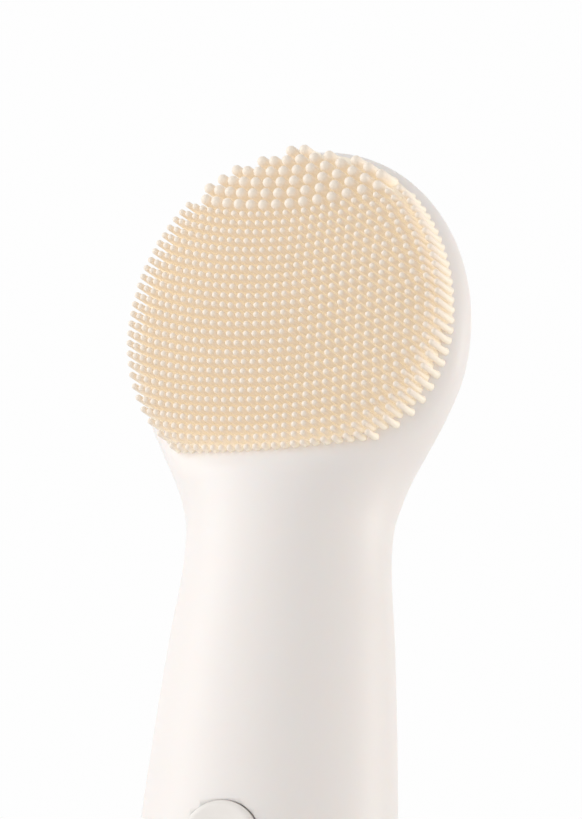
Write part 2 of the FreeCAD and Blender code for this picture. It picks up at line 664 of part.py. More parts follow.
tab_span = "board_y + cell_y + tab_width"
tabs = [box(f"tab_{end}", ("tab_width", tab_span, "tab_thick"), "-tab_width / 2", "-board_y", level)
        for end, level in (("low", "cell_foot - tab_thick"), ("high", "cell_foot + cell_length"))]
node(grouped("tab_pair", tabs), "battery_tabs")

foams = [rod(f"foam_{end}", "foam_radius", "foam_thick", "0", "cell_y", level)
         for end, level in (("low", "cell_foot - tab_thick - foam_thick"),
                            ("high", "cell_foot + cell_length + tab_thick"))]
node(grouped("foam_pair", foams), "battery_foam")

# ---------------------------------------------------------------- circuit board
board_front_text = "-board_y - board_thick"
plate = box("board_plate", ("board_width", "board_thick", "board_length"),
            "-board_width / 2", board_front_text, "board_foot")
post_texts = [(f"{sign}post_x", level) for sign in ("-", "")
              for level in ("board_foot + post_inset", "board_foot + board_length - post_inset")]
board_holes = [rod(f"board_hole_{index}", "board_screw_radius + screw_gap", "3 * board_thick", across,
                   "-board_y - 2 * board_thick", level, ALONG_BACK)
               for index, (across, level) in enumerate(post_texts)]
node(cut("board", plate, joined("board_holes", board_holes)), "main_board")

board_screws = []
for index, (across, level) in enumerate(post_texts):
    shank = rod(f"board_shank_{index}", "board_screw_radius", "board_screw_shank", across,
                "-board_y - board_screw_shank", level, ALONG_BACK)
    head = rod(f"board_head_{index}", "board_screw_head", "board_screw_head_thick", across,
               "-board_y", level, ALONG_BACK)
    board_screws.append(joined(f"board_screw_{index}", [shank, head]))
node(grouped("board_screw_set", board_screws), "board_screws")

# controller, charger, driver and coil on the board's front face: width, height, depth and place
CHIPS = [(5.0, 5.0, 0.9, 0.0, 0.62), (3.0, 3.0, 0.8, -5.0, 0.78), (2.9, 1.6, 1.0, 4.8, 0.74),
         (4.0, 4.0, 1.8, 4.6, 0.52), (1.6, 0.8, 0.6, -5.4, 0.56), (1.6, 0.8, 0.6, -5.4, 0.48),
         (3.2, 1.6, 0.8, 0.0, 0.84)]
chips = []
for index, (wide, tall, deep, across, share) in enumerate(CHIPS):
    chips.append(box(f"chip_{index}", (str(wide), str(deep), str(tall)), str(across - wide / 2),
                     f"{board_front_text} - {deep}", f"board_foot + board_length * {share}"))
node(grouped("chip_set", chips), "board_chips")

leds = [box(f"led_{step}", ("led_size", "led_thick", "led_size"),
            f"{step - 1} * light_pitch - led_size / 2", f"{board_front_text} - led_thick",
            "light_height - led_size / 2") for step in range(3)]
node(grouped("led_set", leds), "status_leds")

# clear light guide: three pins on a bar, from the lights to the outside of the sleeve
guide_back = size("board_y") + size("board_thick") + size("led_thick") + size("light_gap")
pins = []
for spot in light_spots:
    reach = front_depth(spot, light_z) - guide_back - size("light_recess")
    start = Vector(spot, -guide_back, light_z)
    pins.append(rod_shape(size("light_radius"), reach, start, -BACK))
bar_reach = size("light_pitch") + size("light_radius")
bar_low = Vector(-bar_reach, -guide_back - 2 * size("light_bar"), light_z - size("light_radius"))
guide_bar = Part.makeBox(2 * bar_reach, size("light_bar"), 2 * size("light_radius"), bar_low)
node(made("guide", guide_bar.multiFuse(pins)), "light_guide")

# ---------------------------------------------------------------- switch and power button
switch_face = "board_y + board_thick + switch_thick"
switch_block = box("switch_block", ("switch_size", "switch_thick", "switch_size"),
                   "-switch_size / 2", f"-({switch_face})", "button_height - switch_size / 2")
switch_bore = rod("switch_bore", "plunger_radius + running_gap", "plunger_root + plunger_room", "0",
                  f"-({switch_face})", "button_height", ALONG_BACK)
node(cut("switch", switch_block, switch_bore), "power_switch")
node(rod("plunger", "plunger_radius", "plunger_root + plunger_reach", "0",
         f"-({switch_face} + plunger_reach)", "button_height", ALONG_BACK), "switch_plunger")

button_front = front_depth(0.0, button_z) + size("button_proud")
button_back = button_front - size("button_thick")
key = rod_shape(size("button_radius"), size("button_thick"), Vector(0, -button_front, button_z), BACK)
rim = min(key.Edges, key=lambda edge: edge.BoundBox.YMax)
key = key.makeFillet(size("button_round"), [rim])
plunger_tip = (size("board_y") + size("board_thick") + size("switch_thick") + size("plunger_reach")
               + size("stem_gap"))
stem = rod_shape(size("stem_radius"), button_back - plunger_tip, Vector(0, -button_back, button_z), BACK)
node(made("button", key.fuse(stem).removeSplitter()), "power_button")

gasket_back = front_depth(0.0, button_z) - frame_inset - size("frame_wall")
gasket = rod_shape(size("gasket_radius"), size("gasket_length"),
                   Vector(0, -gasket_back - size("gasket_length"), button_z), BACK)
gasket_bore = rod_shape(size("stem_radius") + size("gasket_bore_gap"), FAR,
                        Vector(0, -FAR, button_z), BACK)
node(made("stem_gasket", gasket.cut(gasket_bore)), "button_gasket")

# ---------------------------------------------------------------- charging jack
flange_low = "cap_floor + ring_thick - jack_recess"
node(turned("jack", [
    ("jack_bore", "0"), ("jack_radius", "0"), ("jack_radius", flange_low),
    ("jack_flange_radius", flange_low), ("jack_flange_radius", f"{flange_low} + jack_flange_thick"),
    ("jack_radius", f"{flange_low} + jack_flange_thick"), ("jack_radius", "jack_length"),
    ("0", "jack_length"), ("0", "jack_depth"), ("jack_bore", "jack_depth"),
], y="jack_y", z="jack_recess"), "charging_jack")

ring_part = doc.addObject("Part::Torus", "jack_ring")
ring_part.setExpression("Radius1", formula("jack_radius + part_gap + ring_thick / 2"))
ring_part.setExpression("Radius2", formula("ring_thick / 2 - part_gap / 3"))
node(place(ring_part, "0", "jack_y", "cap_floor + ring_thick / 2"), "jack_o_ring")


# ---------------------------------------------------------------- internal leads
def lead(points):
    """A wire along straight runs joined by tangent arcs as large as the runs allow."""
    edges = []
    here = points[0]
    for before, corner, after in zip(points, points[1:], points[2:]):
        run_in = (corner - before).Length
        run_out = (after - corner).Length
        turn = (corner - before).getAngle(after - corner)
        radius = 0.45 * min(run_in, run_out) / math.tan(turn / 2)
        set_back = radius * math.tan(turn / 2)
        into = corner + (before - corner).normalize() * set_back
        out = corner + (after - corner).normalize() * set_back
        middle_way = ((into + out) * 0.5 - corner).normalize()
        middle = corner + middle_way * (radius / math.cos(turn / 2) - radius)
        edges.append(Part.LineSegment(here, into).toShape())
        edges.append(Part.Arc(into, middle, out).toShape())
        here = out
        print("lead radius", round(radius, 2))
    edges.append(Part.LineSegment(here, points[-1]).toShape())
    path = Part.Wire(edges)
    section = Part.Wire(Part.makeCircle(size("lead_radius"), points[0], points[1] - points[0]))
    wire = path.makePipeShell([section], True, False)
    expected = math.pi * size("lead_radius") ** 2 * path.Length
    print("lead volume", round(wire.Volume, 3), "expected", round(expected, 3))
    return wire


lead_y = -size("board_y") + size("lead_radius") + size("part_gap")
lead_x = size("lead_spread")
board_top = size("board_foot") + size("board_length")
motor_low = size("motor_foot") - size("part_gap")
jack_top = size("jack_recess") + size("jack_length") + size("part_gap")
motor_leads = []
jack_leads = []
for side in (-1, 1):
    across = side * lead_x
    motor_leads.append(lead([
        Vector(across, size("motor_y"), motor_low),
        Vector(across, size("motor_y"), motor_low - size("lead_drop")),
        Vector(across, lead_y, board_top + size("lead_climb")),
        Vector(across, lead_y, board_top - size("lead_lap"))]))
    jack_leads.append(lead([
        Vector(across, size("jack_y"), jack_top),
        Vector(across, size("jack_y"), jack_top + size("lead_rise")),
        Vector(across, lead_y, jack_top + size("lead_rise")),
        Vector(across, lead_y, jack_top + 2 * size("lead_rise"))]))
node(made("motor_wires", Part.makeCompound(motor_leads)), "motor_leads")
node(made("jack_wires", Part.makeCompound(jack_leads)), "jack_leads")

# ---------------------------------------------------------------- checks and export
doc.recompute()
faults = [item.Name for item in doc.Objects if "Invalid" in item.State or "Error" in item.State]
for item in NODES:
    if item.Shape.isNull() or not item.Shape.isValid() or not item.Shape.Solids:
        faults.append(item.Label)
if faults:
    raise RuntimeError(f"these did not build: {faults}")
for item in NODES:
    item.Shape.exportStep(f"parts/{item.Label}.step")
    print(f"{item.Label}: {len(item.Shape.Solids)} solids, {item.Shape.Volume:.1f} mm3")
print("nodes:", len(NODES))
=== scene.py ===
# %% [markdown]
# A facial cleansing brush: one soft white sleeve runs from the base cap up the handle and over
# a round head, and a cream silicone pad with hundreds of bristles fills the head's front.
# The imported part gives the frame, the inner pieces and the moving pieces.  This script adds the
# soft outside: the sleeve, the pad, its bristles, and a finish for everything.

import math

import bpy
from mathutils import Matrix, Vector


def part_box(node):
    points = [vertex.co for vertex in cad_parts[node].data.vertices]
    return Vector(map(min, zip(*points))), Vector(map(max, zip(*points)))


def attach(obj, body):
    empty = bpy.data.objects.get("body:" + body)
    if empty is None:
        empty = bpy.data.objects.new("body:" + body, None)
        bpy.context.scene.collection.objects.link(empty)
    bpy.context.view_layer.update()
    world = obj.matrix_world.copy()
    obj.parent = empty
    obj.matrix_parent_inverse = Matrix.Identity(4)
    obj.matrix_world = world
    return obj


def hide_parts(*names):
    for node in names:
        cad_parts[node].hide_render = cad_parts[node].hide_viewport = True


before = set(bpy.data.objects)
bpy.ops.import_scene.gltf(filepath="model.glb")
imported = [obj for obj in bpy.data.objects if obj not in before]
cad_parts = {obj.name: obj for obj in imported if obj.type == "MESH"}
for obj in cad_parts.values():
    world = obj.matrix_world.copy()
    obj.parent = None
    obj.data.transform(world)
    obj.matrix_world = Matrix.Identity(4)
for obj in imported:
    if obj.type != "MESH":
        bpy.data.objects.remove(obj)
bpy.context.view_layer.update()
MM = 0.001

# %% [markdown]
# Materials and bristles are both node trees.  Writing them by hand takes many links, so two
# small classes do it: a Socket that can be added, multiplied and so on like a number, and a
# Graph that makes one node with its settings and inputs in a single call.


# %%
class Socket:
    """One output of a node tree that takes part in sums like a number."""

    def __init__(self, graph, link):
        self.graph = graph
        self.link = link

    def __add__(self, other): return self.graph.math("ADD", self, other)
    def __radd__(self, other): return self.graph.math("ADD", other, self)
    def __sub__(self, other): return self.graph.math("SUBTRACT", self, other)
    def __rsub__(self, other): return self.graph.math("SUBTRACT", other, self)
    def __mul__(self, other): return self.graph.math("MULTIPLY", self, other)
    def __truediv__(self, other): return self.graph.math("DIVIDE", self, other)
    def __neg__(self): return self.graph.math("MULTIPLY", self, -1.0)


class Graph:
    """A node tree and the two ways of adding to it."""

    def __init__(self, tree):
        self.tree = tree
        tree.nodes.clear()

    def node(self, kind, settings=None, inputs=None):
        """One node: settings are its properties, inputs its sockets by name or number."""
        made = self.tree.nodes.new(kind)
        for name, value in (settings or {}).items():
            setattr(made, name, value)
        for key, value in (inputs or {}).items():
            if isinstance(value, Socket):
                self.tree.links.new(value.link, made.inputs[key])
            else:
                made.inputs[key].default_value = value
        return made

    def out(self, made, key=0):
        return Socket(self, made.outputs[key])

    def math(self, operation, *values, clamp=False):
        made = self.node("ShaderNodeMath", {"operation": operation, "use_clamp": clamp},
                         dict(enumerate(values)))
        return self.out(made)

    def mix(self, factor, first, second):
        """A colour between two others."""
        made = self.node("ShaderNodeMix", {"data_type": "RGBA"}, {0: factor, 6: first, 7: second})
        return self.out(made, 2)


# %% [markdown]
# The sleeve's form comes from a few sections: half the width, and how far it stands forward and
# back of the handle's middle plane.  Curves through them give every height between.
# The head is a flattened dome: from its widest place up, each section shrinks as an ellipse.

# %%
SECTIONS = [  # height, half width, front, back, all in millimetres
    (8.0, 17.4, 14.6, 14.6), (16.0, 18.5, 15.6, 15.6), (26.0, 19.0, 16.0, 16.0),
    (42.0, 18.0, 15.0, 15.0), (60.0, 16.45, 13.6, 13.6), (70.0, 15.3, 12.7, 12.7),
    (76.5, 15.2, 12.4, 12.3), (80.5, 16.25, 12.3, 12.2), (84.0, 17.75, 12.2, 12.05),
    (88.0, 20.05, 12.0, 12.0), (93.0, 22.75, 12.0, 12.0), (99.0, 25.0, 12.0, 12.0),
    (105.0, 25.6, 12.0, 12.0),
]
WIDTH, FRONT, BACK = 1, 2, 3  # columns of the sections
HEAD_HEIGHT = 105.0
HEAD_WIDTH = 25.6
HEAD_FRONT = 7.8
HEAD_BACK = 12.0
CROWN_RISE = 28.0
PAD_WIDTH = 24.6
PAD_RISE = 27.4
PAD_FALL = 23.05
PAD_FOOT = 85.6
SMILE_RADIUS = 46.0
SMILE_HEIGHT = 106.3
SMILE_CHANGE = 0.65
STEP_FOOT = 82.0
STEP_TOP = 91.0
STEP_SMILE = 0.6
LEAST = 0.01


def smooth(low, high, value):
    """0 below low, 1 above high, and a soft S between."""
    part = min(1.0, max(0.0, (value - low) / (high - low)))
    return part * part * (3.0 - 2.0 * part)


def along(column, height):
    """One column of the sections at any height, by a smooth curve through the rows."""
    index = max(0, min(len(SECTIONS) - 2, sum(row[0] <= height for row in SECTIONS) - 1))
    low, high = SECTIONS[index], SECTIONS[index + 1]
    before, after = SECTIONS[max(index - 1, 0)], SECTIONS[min(index + 2, len(SECTIONS) - 1)]
    span = high[0] - low[0]
    part = (height - low[0]) / span
    leave = (high[column] - before[column]) / (high[0] - before[0]) * span
    arrive = (after[column] - low[column]) / (after[0] - low[0]) * span
    if index == len(SECTIONS) - 2:
        arrive = 0.0
    rise = part * part * (3.0 - 2.0 * part)
    return (low[column] * (1.0 - rise) + high[column] * rise
            + leave * part * (1.0 - part) ** 2 + arrive * part * part * (part - 1.0))


def crown(height):
    """1 up to the head's widest place, then falling to 0 at its top."""
    share = max(0.0, (height - HEAD_HEIGHT) / CROWN_RISE)
    return math.sqrt(max(0.0, 1.0 - share * share))


def half_width(height):
    return HEAD_WIDTH * crown(height) if height > HEAD_HEIGHT else along(WIDTH, height)


def back_depth(height):
    return HEAD_BACK * crown(height) if height > HEAD_HEIGHT else along(BACK, height)


def row_rise(across, foot):
    """How far a row of bristles that starts at foot climbs toward the sides."""
    return across * across / (2.0 * (SMILE_RADIUS - SMILE_CHANGE * (foot - SMILE_HEIGHT)))


def front_depth(across, height):
    """How far forward the sleeve stands.  Under the pad it steps back along a smiling line."""
    level = height - row_rise(across, PAD_FOOT) * STEP_SMILE
    step = smooth(STEP_FOOT, STEP_TOP, level)
    deep = along(FRONT, min(height, HEAD_HEIGHT)) * (1.0 - step) + HEAD_FRONT * step
    share = min(1.0, abs(across) / max(half_width(height), LEAST))
    return deep * crown(height) * math.sqrt(1.0 - share * share)


def mesh_object(name, points, faces, shade=True):
    """A named mesh from millimetre points."""
    mesh = bpy.data.meshes.new(name)
    mesh.from_pydata([[value * MM for value in point] for point in points], [], faces)
    mesh.validate()
    if shade:
        mesh.shade_smooth()
    made = bpy.data.objects.new(name, mesh)
    bpy.context.scene.collection.objects.link(made)
    return made


# %% [markdown]
# The sleeve is one moulded skin, so it is built as rings: a short inside layer above the seam of
# the base cap, a rolled lip at the seam, and then the outside up to the crown.  A web closes the
# inside layer, because the round holes for the key and the lights are cut from a closed body.

# %%
AROUND = 160
SEAM = 8.0
SKIRT_RINGS = 6
SKIRT_RISE = 6.0
SKIRT_INSET = 1.5
LIP = 0.55
LIP_INSET = 0.9
LIP_SHARE = 0.6
LIP_STEPS = 6
HANDLE_START = 0.9
HANDLE_STEP = 1.2
NECK_HEIGHT = 76.0
HEAD_STEP = 0.6
CROWN_STEPS = 60


def ring(height, inset=0.0):
    """Points round the sleeve at one height, drawn in by inset."""
    points = []
    for step in range(AROUND):
        turn = 2.0 * math.pi * step / AROUND
        wide = max(half_width(height) - inset, 2.0 * LEAST)
        across = wide * math.cos(turn)
        if math.sin(turn) > 0.0:
            deep = max(back_depth(height) - inset * crown(height), LEAST) * math.sin(turn)
        else:
            reach = front_depth(across * half_width(height) / wide, height)
            deep = -reach * max(0.0, 1.0 - inset / max(half_width(height), 2.0 * LEAST))
        points.append((across, deep, height))
    return points


def quarter(step, steps):
    """The turn after some of the steps of a quarter circle."""
    return math.pi / 2.0 * step / steps


def sleeve_rings():
    """All rings of the sleeve: down the inside layer, round the lip and up the outside."""
    rings = [ring(SEAM + SKIRT_RISE - step, SKIRT_INSET) for step in range(SKIRT_RINGS)]
    for step in range(LIP_STEPS + 1):
        drop = math.sin(quarter(step, LIP_STEPS))
        inset = LIP * (1.0 - drop) + LIP_INSET * (1.0 - step / LIP_STEPS)
        rings.append(ring(SEAM + LIP - LIP * drop, inset))
    for step in range(1, LIP_STEPS + 1):
        turn = quarter(step, LIP_STEPS)
        rings.append(ring(SEAM + LIP * (1.0 - math.cos(turn)), LIP * (1.0 - math.sin(turn)) * LIP_SHARE))
    height = SEAM + LIP + HANDLE_START
    while height < HEAD_HEIGHT:
        rings.append(ring(height))
        height += HEAD_STEP if height > NECK_HEIGHT else HANDLE_STEP
    for step in range(1, CROWN_STEPS):
        rings.append(ring(HEAD_HEIGHT + CROWN_RISE * math.sin(quarter(step, CROWN_STEPS))))
    return rings


def skin(rings):
    """Faces between rings, a fan to close the crown and a web to close the inside layer."""
    points = [point for each in rings for point in each]
    faces = []
    for level in range(len(rings) - 1):
        for step in range(AROUND):
            here = level * AROUND + step
            there = level * AROUND + (step + 1) % AROUND
            faces.append((here, there, there + AROUND, here + AROUND))
    top = len(points)
    points.append((0.0, 0.0, HEAD_HEIGHT + CROWN_RISE))
    last = (len(rings) - 1) * AROUND
    faces += [(last + step, last + (step + 1) % AROUND, top) for step in range(AROUND)]
    faces.append(tuple(reversed(range(AROUND))))
    return points, faces


KEY_HOLE = {"radius": 6.2, "height": 27.0, "spots": [0.0]}
LIGHT_HOLES = {"radius": 0.85, "height": 16.4, "spots": [-3.4, 0.0, 3.4]}
HOLE_SIDES = 64
CUT_FROM = 30.0
CUT_TO = 5.0


def cutting_rod(radius, across, height):
    """A closed round rod that reaches the front wall only."""
    points = []
    for deep in (-CUT_FROM, -CUT_TO):
        for step in range(HOLE_SIDES):
            turn = 2.0 * math.pi * step / HOLE_SIDES
            points.append((across + radius * math.cos(turn), deep, height + radius * math.sin(turn)))
    faces = []
    for step in range(HOLE_SIDES):
        after = (step + 1) % HOLE_SIDES
        faces.append((HOLE_SIDES + step, HOLE_SIDES + after, after, step))
    faces += [tuple(range(HOLE_SIDES)), tuple(reversed(range(HOLE_SIDES, 2 * HOLE_SIDES)))]
    return mesh_object("cutter", points, faces, shade=False)


def pierce(target, holes):
    """Cuts a row of round holes into the front of the sleeve."""
    for across in holes["spots"]:
        cutter = cutting_rod(holes["radius"], across, holes["height"])
        cut = target.modifiers.new("cut", "BOOLEAN")
        cut.operation = "DIFFERENCE"
        cut.solver = "EXACT"
        cut.object = cutter
        ready = target.evaluated_get(bpy.context.evaluated_depsgraph_get())
        mesh = bpy.data.meshes.new_from_object(ready)
        target.modifiers.remove(cut)
        target.data = mesh
        bpy.data.objects.remove(cutter)
    mesh.shade_smooth()


sleeve = mesh_object("soft_sleeve", *skin(sleeve_rings()))
pierce(sleeve, KEY_HOLE)
pierce(sleeve, LIGHT_HOLES)
print("sleeve faces:", len(sleeve.data.polygons))

# %% [markdown]
# The pad is a second, softer silicone moulded over the sleeve.  Its outline is round with a
# smiling foot, and its edge rolls down into the sleeve, so no open gap shows.

# %%
PAD_ANGLES = 220
PAD_RINGS = 46
PAD_PROUD = 0.10
PAD_THICK = 1.3
PAD_CROWD = 1.6
PAD_TAPER = 2.0
FOOT_BLUNT = 14.0
ROLL_SINK = 0.30
ROLL_END = -0.2
ROLL_START = 0.55
HALVINGS = 40


def pad_reach(angle):
    """Distance from the pad's middle to its outline in one direction."""
    dx, dz = math.cos(angle), math.sin(angle)
    reach = PAD_RISE if dz > 0.0 else PAD_FALL
    oval = 1.0 / math.sqrt((dx / PAD_WIDTH) ** 2 + (dz / reach) ** 2)
    if dz >= 0.0:
        return oval
    low, high = 0.0, oval
    for _ in range(HALVINGS):
        middle = (low + high) / 2.0
        x, z = dx * middle, HEAD_HEIGHT + dz * middle
        if z < PAD_FOOT + row_rise(x, PAD_FOOT):
            high = middle
        else:
            low = middle
    return (oval ** -FOOT_BLUNT + max(low, 0.1) ** -FOOT_BLUNT) ** (-1.0 / FOOT_BLUNT)


def pad_points(under):
    """Rings of the pad's front, or of its underside, from the middle outward."""
    points = []
    for level in range(1, PAD_RINGS + 1):
        for step in range(PAD_ANGLES):
            angle = 2.0 * math.pi * step / PAD_ANGLES
            reach = pad_reach(angle)
            edge = reach * (1.0 - (1.0 - level / PAD_RINGS) ** PAD_CROWD)
            x = math.cos(angle) * edge
            z = HEAD_HEIGHT + math.sin(angle) * edge
            from_rim = reach - edge
            rolled = 1.0 - smooth(ROLL_END, ROLL_START, from_rim)
            roll = PAD_PROUD - (PAD_PROUD + ROLL_SINK) * rolled
            sink = PAD_THICK * smooth(0.0, PAD_TAPER, from_rim) if under else 0.0
            points.append((x, -(front_depth(x, z) + roll - sink), z))
    return points


def build_pad():
    """The pad as a closed body: front and underside share the ring at the rim."""
    middle = front_depth(0.0, HEAD_HEIGHT) + PAD_PROUD
    points = [(0.0, -middle, HEAD_HEIGHT)] + pad_points(False)
    back_start = len(points)
    points += [(0.0, -(middle - PAD_THICK), HEAD_HEIGHT)] + pad_points(True)[:-PAD_ANGLES]
    faces = []

    def index(side, level, step):
        if side and level == PAD_RINGS:
            side = 0
        return side * back_start + 1 + (level - 1) * PAD_ANGLES + step % PAD_ANGLES

    for side in (0, 1):
        for step in range(PAD_ANGLES):
            fan = (side * back_start, index(side, 1, step), index(side, 1, step + 1))
            faces.append(fan if side == 0 else fan[::-1])
            for level in range(1, PAD_RINGS):
                quad = (index(side, level, step), index(side, level + 1, step),
                        index(side, level + 1, step + 1), index(side, level, step + 1))
                faces.append(quad if side == 0 else quad[::-1])
    return mesh_object("cream_pad", points, faces)


pad = build_pad()
print("pad faces:", len(pad.data.polygons))

# %% [markdown]
# Bristles stand in rows that smile.  Fine ones fill most of the pad, and a patch of thick ones
# sits at the crown, where the brush reaches beside the nose.  Each lattice place becomes one
# point with its own length, because the tips follow a shallow dome while the roots follow the pad.
# The last bristle of a fine row stands at the pad's edge.

# %%
FINE = {"radius": 0.45, "pitch": 1.415, "rise": 1.4, "foot": 85.66, "head": 121.5, "length": 4.2,
        "rim": True, "flare": 0.35, "sway": 0.05}
THICK = {"radius": 0.79, "pitch": 2.1, "rise": 1.85, "foot": 122.2, "head": 132.4, "length": 4.4,
         "rim": False, "flare": 0.2, "sway": 0.03}
MARGIN = 0.1
RIM_BLEND = 7.0
RIM_STRETCH = 0.57
WRAP = 53.5
TIP_FALL = 0.625
SHORTEST = 0.5


def tip_depth(across, height, length):
    """How far forward the tips stand: a dome that falls a little toward the sides."""
    share = min(1.0, abs(across) / max(half_width(height), LEAST))
    return HEAD_FRONT * crown(height) * (1.0 - TIP_FALL * share * share) + length


def on_pad(x, z, radius):
    """True where a bristle stands wholly on the pad."""
    room = radius + MARGIN
    reach = PAD_RISE if z > HEAD_HEIGHT else PAD_FALL
    return (x / (PAD_WIDTH - room)) ** 2 + ((z - HEAD_HEIGHT) / (reach - room)) ** 2 <= 1.0


def row_end(foot, radius):
    """How far from the middle a row's last bristle can stand."""
    low, high = 0.0, PAD_WIDTH
    if not on_pad(low, foot, radius):
        return 0.0
    for _ in range(HALVINGS):
        middle = (low + high) / 2.0
        if on_pad(middle, foot + row_rise(middle, foot), radius):
            low = middle
        else:
            high = middle
    return low


def row_spots(foot, kind):
    """Where one row's bristles stand on the right of the middle.

    Columns wrap round the head, and the outer ones of a fine row shift to the pad's edge.
    """
    end = row_end(foot, kind["radius"])
    reach = end + RIM_STRETCH if kind["rim"] else end
    count = int(PAD_WIDTH / kind["pitch"]) + 2
    spots = [WRAP * math.sin((column + 0.5) * kind["pitch"] / WRAP) for column in range(count)]
    spots = [spot for spot in spots if spot <= reach]
    if kind["rim"] and spots:
        last = spots[-1]
        spots = [spot + (end - last) * max(0.0, 1.0 - (last - spot) / RIM_BLEND) for spot in spots]
    return spots


def lattice(kind):
    """Root places and lengths of one kind of bristle."""
    places = []
    foot = kind["foot"]
    while foot <= kind["head"]:
        spots = row_spots(foot, kind)
        for x in [-spot for spot in spots[::-1]] + spots:
            z = foot + row_rise(x, foot)
            root = front_depth(x, z)
            length = tip_depth(x, z, kind["length"]) - root
            if length > kind["radius"] * SHORTEST:
                places.append((x, -root, z, length))
        foot += kind["rise"]
    return places


def place_points(name, places):
    """A cloud of root points that carries each bristle's length."""
    cloud = mesh_object(name, [place[:3] for place in places], [], shade=False)
    lengths = cloud.data.attributes.new("stalk", "FLOAT", "POINT")
    lengths.data.foreach_set("value", [place[3] * MM for place in places])
    return cloud


# %% [markdown]
# One node tree grows a bristle on every point.  A bristle is a short tube of rings: a root that
# flares into the pad, a straight shank, and a round tip.  The rings are numbered, the tube is
# copied to the points, and only then is each ring sent to its own height and radius, so long
# and short bristles keep the same round tip.

# %%
RINGS = 8
SIDES = 10
TIP_RING = 3  # the first ring of the round tip
TIP_TURN = math.radians(86.0)
NECK_SHARE = 0.45
NECK_MOST = 0.9
FLARE_SHARE = 0.35
ROOT_SINK = 0.5
SWAY_SEED = 7


def bristle_tree():
    """The node tree that grows a bristle on every point of a cloud."""
    tree = bpy.data.node_groups.new("grow_bristles", "GeometryNodeTree")
    sockets = [("Geometry", "INPUT", "NodeSocketGeometry"), ("Radius", "INPUT", "NodeSocketFloat"),
               ("Root Flare", "INPUT", "NodeSocketFloat"), ("Sway", "INPUT", "NodeSocketFloat"),
               ("Material", "INPUT", "NodeSocketMaterial"), ("Geometry", "OUTPUT", "NodeSocketGeometry")]
    for name, way, kind in sockets:
        tree.interface.new_socket(name, in_out=way, socket_type=kind)
    g = Graph(tree)
    given = g.node("NodeGroupInput")
    cloud, radius, flare, sway, material = [g.out(given, key) for key in range(5)]

    tube = g.node("GeometryNodeMeshCylinder", {"fill_type": "NGON"},
                  {"Vertices": SIDES, "Side Segments": RINGS, "Radius": 1.0, "Depth": 1.0})
    spot = g.node("ShaderNodeSeparateXYZ", None, {0: g.out(g.node("GeometryNodeInputPosition"))})
    level = g.math("ROUND", (g.out(spot, "Z") + 0.5) * float(RINGS))
    ring_way = g.node("ShaderNodeCombineXYZ", None, {"X": g.out(spot, "X"), "Z": g.out(spot, "Y")})
    numbered = g.node("GeometryNodeStoreNamedAttribute", {"data_type": "FLOAT", "domain": "POINT"},
                      {"Geometry": g.out(tube, "Mesh"), "Name": "level", "Value": level})
    aimed = g.node("GeometryNodeStoreNamedAttribute", {"data_type": "FLOAT_VECTOR", "domain": "POINT"},
                   {"Geometry": g.out(numbered), "Name": "ring_way", "Value": g.out(ring_way)})
    centre = g.node("ShaderNodeCombineXYZ")
    folded = g.node("GeometryNodeSetPosition", None,
                    {"Geometry": g.out(aimed), "Position": g.out(centre)})

    wander = g.node("FunctionNodeRandomValue", {"data_type": "FLOAT_VECTOR"},
                    {0: (-1, 0, -1), 1: (1, 0, 1), "Seed": SWAY_SEED})
    swayed = g.node("GeometryNodeStoreNamedAttribute", {"data_type": "FLOAT_VECTOR", "domain": "POINT"},
                    {"Geometry": cloud, "Name": "wander", "Value": g.out(wander, 0)})
    copies = g.node("GeometryNodeInstanceOnPoints", None,
                    {"Points": g.out(swayed), "Instance": g.out(folded)})
    real = g.node("GeometryNodeRealizeInstances", None, {"Geometry": g.out(copies)})

    def named(name, kind):
        return g.out(g.node("GeometryNodeInputNamedAttribute", {"data_type": kind}, {"Name": name}))

    level = named("level", "FLOAT")
    stalk = named("stalk", "FLOAT")
    shank = g.math("MAXIMUM", stalk - radius, 0.0)
    dome = g.math("MULTIPLY", (level - float(TIP_RING)) / float(RINGS - TIP_RING), 1.0, clamp=True)
    turn = dome * TIP_TURN
    above = g.math("GREATER_THAN", level, 0.5)
    is_shank = g.math("GREATER_THAN", level, 1.5)
    is_top = g.math("GREATER_THAN", level, TIP_RING - 0.5)
    neck = g.math("MINIMUM", shank * NECK_SHARE, radius * NECK_MOST)
    height = above * neck * FLARE_SHARE + is_shank * (neck - neck * FLARE_SHARE)
    height = height + is_top * (shank - neck) + radius * g.math("SINE", turn)
    height = height - (1.0 - above) * radius * ROOT_SINK
    wide = radius * g.math("COSINE", turn)
    wide = wide * (1.0 + flare * (1.0 - above) + flare * FLARE_SHARE * above * (1.0 - is_shank))
    reach = height / stalk
    out_way = g.node("ShaderNodeVectorMath", {"operation": "SCALE"},
                     {0: named("ring_way", "FLOAT_VECTOR"), "Scale": wide})
    lean = g.node("ShaderNodeVectorMath", {"operation": "SCALE"},
                  {0: named("wander", "FLOAT_VECTOR"), "Scale": sway * reach * reach})
    forward = g.node("ShaderNodeCombineXYZ", None, {"Y": -height})
    shift = g.out(out_way)
    for part in (lean, forward):
        shift = g.out(g.node("ShaderNodeVectorMath", {"operation": "ADD"}, {0: shift, 1: g.out(part)}))
    shaped = g.node("GeometryNodeSetPosition", None, {"Geometry": g.out(real), "Offset": shift})
    tinted = g.node("GeometryNodeStoreNamedAttribute", {"data_type": "FLOAT", "domain": "POINT"},
                    {"Geometry": g.out(shaped), "Name": "reach", "Value": reach})
    done = g.node("GeometryNodeSetMaterial", None, {"Geometry": g.out(tinted), "Material": material})
    g.node("NodeGroupOutput", None, {0: g.out(done)})
    return tree


